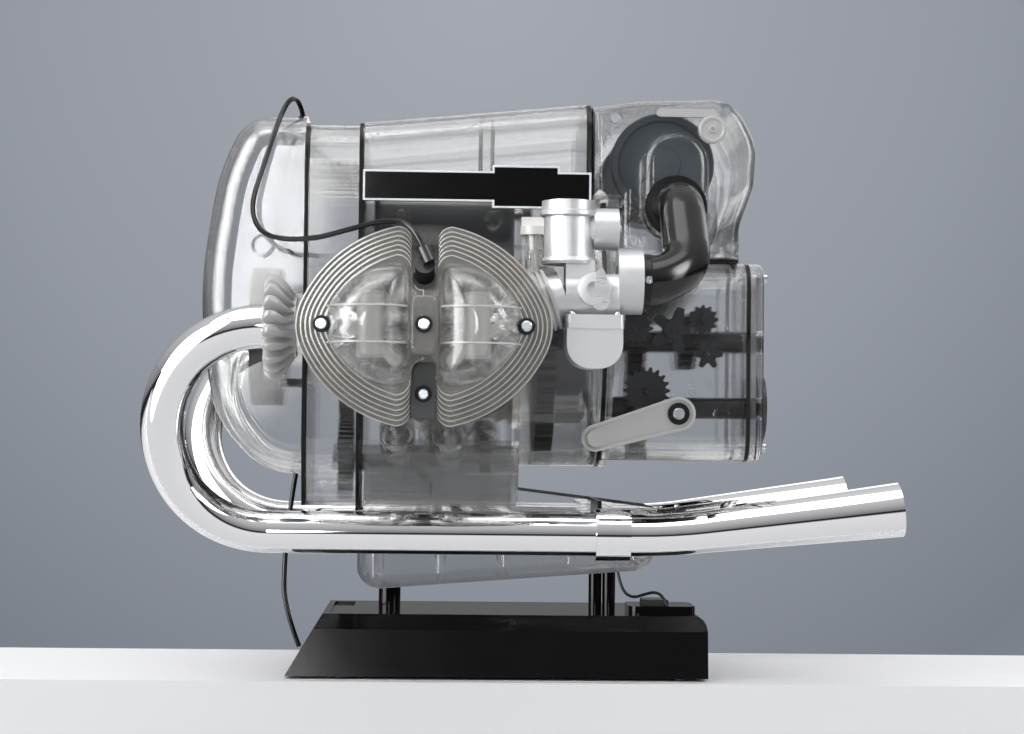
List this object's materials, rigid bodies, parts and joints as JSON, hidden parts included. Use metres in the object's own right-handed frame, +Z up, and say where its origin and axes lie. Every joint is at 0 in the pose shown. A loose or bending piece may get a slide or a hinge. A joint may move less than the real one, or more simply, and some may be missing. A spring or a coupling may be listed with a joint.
{
  "type": "four stroke engine model",
  "caption": "See-through working model of an air-cooled flat-twin motorcycle engine with gearbox, exhausts and carburettors on a black stand",
  "frame": {"origin": "under the middle of the model, on the surface that it stands on", "axes": "+X runs from the nose of the engine to the gearbox, -Y is the engine's left cylinder, +Z is up"},
  "size_m": [0.3951, 0.37, 0.3117],
  "materials": {
    "black_gloss": "glossy moulded black",
    "black_satin": "satin black",
    "clear": "clear moulded plastic",
    "smoked": "smoked translucent plastic",
    "chrome": "bright plated",
    "silver": "silver paint",
    "nut_grey": "light grey moulding",
    "dark_grey": "dark grey moulding",
    "steel": "bright machined",
    "metal_paint": "metallic grey",
    "rubber_black": "smooth black rubber",
    "white": "white moulding"
  },
  "bodies": {
    "engine": {"base_cover": "black_gloss", "base_plate": "black_satin", "rubber_feet": "rubber_black", "oil_sump": "smoked", "stand_posts": "black_gloss", "crankcase": "clear", "timing_housing": "clear", "front_cover": "clear", "top_cover": "clear", "airbox_halves": "clear", "air_filter": "black_satin", "gearbox_case": "clear", "gearbox_cover": "clear", "alternator_stator": "dark_grey", "starter_motor": "metal_paint", "left_cylinder": "smoked", "right_cylinder": "smoked", "pushrod_tubes": "clear", "left_head": "smoked", "right_head": "smoked", "left_rocker_cover": "smoked", "right_rocker_cover": "smoked", "valve_springs": "steel", "exhaust_pipes": "chrome", "exhaust_nuts": "nut_grey", "carburettors": "silver", "intake_hoses": "rubber_black", "spark_plugs": "black_satin", "badge_plate": "black_gloss", "casing_screws": "steel", "ignition_leads": "rubber_black", "stand_leads": "rubber_black"},
    "crank": {"crankshaft_and_rotor": "metal_paint", "flywheel_and_clutch": "dark_grey"},
    "idler": {"idler_gear": "nut_grey"},
    "cam": {"camshaft": "metal_paint"},
    "input": {"input_shaft": "nut_grey"},
    "lay": {"layshaft": "nut_grey"},
    "left_piston_body": {"left_piston": "metal_paint"},
    "right_piston_body": {"right_piston": "metal_paint"},
    "left_rod_body": {"left_rod": "metal_paint"},
    "right_rod_body": {"right_rod": "metal_paint"},
    "shift": {"gear_lever": "nut_grey"},
    "choke": {"choke_lever": "dark_grey"},
    "left_throttle": {"left_throttle_lever": "steel"},
    "right_throttle": {"right_throttle_lever": "steel"},
    "button": {"start_button": "black_satin"},
    "dip": {"dipstick": "white"},
    "left_exhaust_rocker_body": {"left_exhaust_rocker": "metal_paint"},
    "left_exhaust_valve_body": {"left_exhaust_valve": "steel"},
    "left_exhaust_pushrod_body": {"left_exhaust_pushrod": "steel"},
    "left_inlet_rocker_body": {"left_inlet_rocker": "metal_paint"},
    "left_inlet_valve_body": {"left_inlet_valve": "steel"},
    "left_inlet_pushrod_body": {"left_inlet_pushrod": "steel"},
    "right_exhaust_rocker_body": {"right_exhaust_rocker": "metal_paint"},
    "right_exhaust_valve_body": {"right_exhaust_valve": "steel"},
    "right_exhaust_pushrod_body": {"right_exhaust_pushrod": "steel"},
    "right_inlet_rocker_body": {"right_inlet_rocker": "metal_paint"},
    "right_inlet_valve_body": {"right_inlet_valve": "steel"},
    "right_inlet_pushrod_body": {"right_inlet_pushrod": "steel"}
  },
  "joints": [
    {"name": "crank_spin", "type": "hinge", "parent": "engine", "child": "crank", "pos_m": [0, 0, 0.182], "axis": [1, 0, 0], "continuous": true},
    {"name": "idler_spin", "type": "hinge", "parent": "engine", "child": "idler", "pos_m": [-0.1, 0, 0.155], "axis": [1, 0, 0], "continuous": true},
    {"name": "cam_spin", "type": "hinge", "parent": "engine", "child": "cam", "pos_m": [-0.05, 0, 0.118], "axis": [1, 0, 0], "continuous": true},
    {"name": "input_spin", "type": "hinge", "parent": "engine", "child": "input", "pos_m": [0.08, 0, 0.182], "axis": [1, 0, 0], "continuous": true},
    {"name": "layshaft_spin", "type": "hinge", "parent": "engine", "child": "lay", "pos_m": [0.08, 0, 0.14525], "axis": [1, 0, 0], "continuous": true},
    {"name": "left_piston_slide", "type": "slide", "parent": "engine", "child": "left_piston_body", "axis": [0, 1, 0], "range_m": [0, 0.0353]},
    {"name": "left_rod_swing", "type": "hinge", "parent": "left_piston_body", "child": "left_rod_body", "pos_m": [-0.054, -0.08515, 0.182], "axis": [1, 0, 0], "range_deg": [-15.1, 15.1]},
    {"name": "right_piston_slide", "type": "slide", "parent": "engine", "child": "right_piston_body", "axis": [0, -1, 0], "range_m": [0, 0.0353]},
    {"name": "right_rod_swing", "type": "hinge", "parent": "right_piston_body", "child": "right_rod_body", "pos_m": [-0.034, 0.08515, 0.182], "axis": [1, 0, 0], "range_deg": [-15.1, 15.1]},
    {"name": "left_exhaust_rocking", "type": "hinge", "parent": "engine", "child": "left_exhaust_rocker_body", "pos_m": [-0.08, -0.168, 0.182], "axis": [0, 0, -1], "range_deg": [0, 10]},
    {"name": "left_exhaust_valve_lift", "type": "slide", "parent": "engine", "child": "left_exhaust_valve_body", "axis": [0.4639, 0.8859, 0], "range_m": [0, 0.0021], "stiffness_N_per_m": 100, "deforming": ["valve_springs"]},
    {"name": "left_exhaust_pushrod_lift", "type": "slide", "parent": "engine", "child": "left_exhaust_pushrod_body", "axis": [0, -0.9564, 0.292], "range_m": [0, 0.0023]},
    {"name": "left_inlet_rocking", "type": "hinge", "parent": "engine", "child": "left_inlet_rocker_body", "pos_m": [-0.028, -0.168, 0.182], "axis": [0, 0, 1], "range_deg": [0, 10]},
    {"name": "left_inlet_valve_lift", "type": "slide", "parent": "engine", "child": "left_inlet_valve_body", "axis": [-0.4639, 0.8859, 0], "range_m": [0, 0.0021], "stiffness_N_per_m": 100},
    {"name": "left_inlet_pushrod_lift", "type": "slide", "parent": "engine", "child": "left_inlet_pushrod_body", "axis": [0, -0.9564, 0.292], "range_m": [0, 0.0023]},
    {"name": "right_exhaust_rocking", "type": "hinge", "parent": "engine", "child": "right_exhaust_rocker_body", "pos_m": [-0.06, 0.168, 0.182], "axis": [0, 0, 1], "range_deg": [0, 10]},
    {"name": "right_exhaust_valve_lift", "type": "slide", "parent": "engine", "child": "right_exhaust_valve_body", "axis": [0.4639, -0.8859, 0], "range_m": [0, 0.0021], "stiffness_N_per_m": 100},
    {"name": "right_exhaust_pushrod_lift", "type": "slide", "parent": "engine", "child": "right_exhaust_pushrod_body", "axis": [0, 0.9564, 0.292], "range_m": [0, 0.0023]},
    {"name": "right_inlet_rocking", "type": "hinge", "parent": "engine", "child": "right_inlet_rocker_body", "pos_m": [-0.008, 0.168, 0.182], "axis": [0, 0, -1], "range_deg": [0, 10]},
    {"name": "right_inlet_valve_lift", "type": "slide", "parent": "engine", "child": "right_inlet_valve_body", "axis": [-0.4639, -0.8859, 0], "range_m": [0, 0.0021], "stiffness_N_per_m": 100},
    {"name": "right_inlet_pushrod_lift", "type": "slide", "parent": "engine", "child": "right_inlet_pushrod_body", "axis": [0, 0.9564, 0.292], "range_m": [0, 0.0023]},
    {"name": "gear_shift", "type": "hinge", "parent": "engine", "child": "shift", "pos_m": [0.08, -0.06, 0.1414], "axis": [0, 1, 0], "range_deg": [-12, 12], "stiffness_Nm_per_rad": 0.5},
    {"name": "choke_turn", "type": "hinge", "parent": "engine", "child": "choke", "pos_m": [0.0993, -0.048, 0.2948], "axis": [0, 1, 0], "range_deg": [0, 35]},
    {"name": "left_throttle_turn", "type": "hinge", "parent": "engine", "child": "left_throttle", "pos_m": [0.033, -0.1405, 0.196], "axis": [0, -1, 0], "range_deg": [0, 65], "stiffness_Nm_per_rad": 0.01},
    {"name": "right_throttle_turn", "type": "hinge", "parent": "engine", "child": "right_throttle", "pos_m": [0.053, 0.1405, 0.196], "axis": [0, -1, 0], "range_deg": [0, 65], "stiffness_Nm_per_rad": 0.01},
    {"name": "button_press", "type": "slide", "parent": "engine", "child": "button", "axis": [0, 0, -1], "range_m": [0, 0.0025], "stiffness_N_per_m": 400},
    {"name": "dipstick_pull", "type": "slide", "parent": "engine", "child": "dip", "axis": [0, 0, 1], "range_m": [0, 0.035]}
  ],
  "couplings": [
    {"joint": "idler_spin", "follows": "crank_spin", "ratio": -0.58823},
    {"joint": "cam_spin", "follows": "crank_spin", "ratio": 0.5},
    {"joint": "input_spin", "follows": "crank_spin", "ratio": 1},
    {"joint": "layshaft_spin", "follows": "crank_spin", "ratio": -0.61538},
    {"joint": "left_exhaust_rocking", "follows": "left_exhaust_valve_lift", "rad_per_m": 80},
    {"joint": "left_exhaust_pushrod_lift", "follows": "left_exhaust_valve_lift", "ratio": 0.96},
    {"joint": "left_inlet_rocking", "follows": "left_inlet_valve_lift", "rad_per_m": 80},
    {"joint": "left_inlet_pushrod_lift", "follows": "left_inlet_valve_lift", "ratio": 0.96},
    {"joint": "right_exhaust_rocking", "follows": "right_exhaust_valve_lift", "rad_per_m": 80},
    {"joint": "right_exhaust_pushrod_lift", "follows": "right_exhaust_valve_lift", "ratio": 0.96},
    {"joint": "right_inlet_rocking", "follows": "right_inlet_valve_lift", "rad_per_m": 80},
    {"joint": "right_inlet_pushrod_lift", "follows": "right_inlet_valve_lift", "ratio": 0.96}
  ]
}
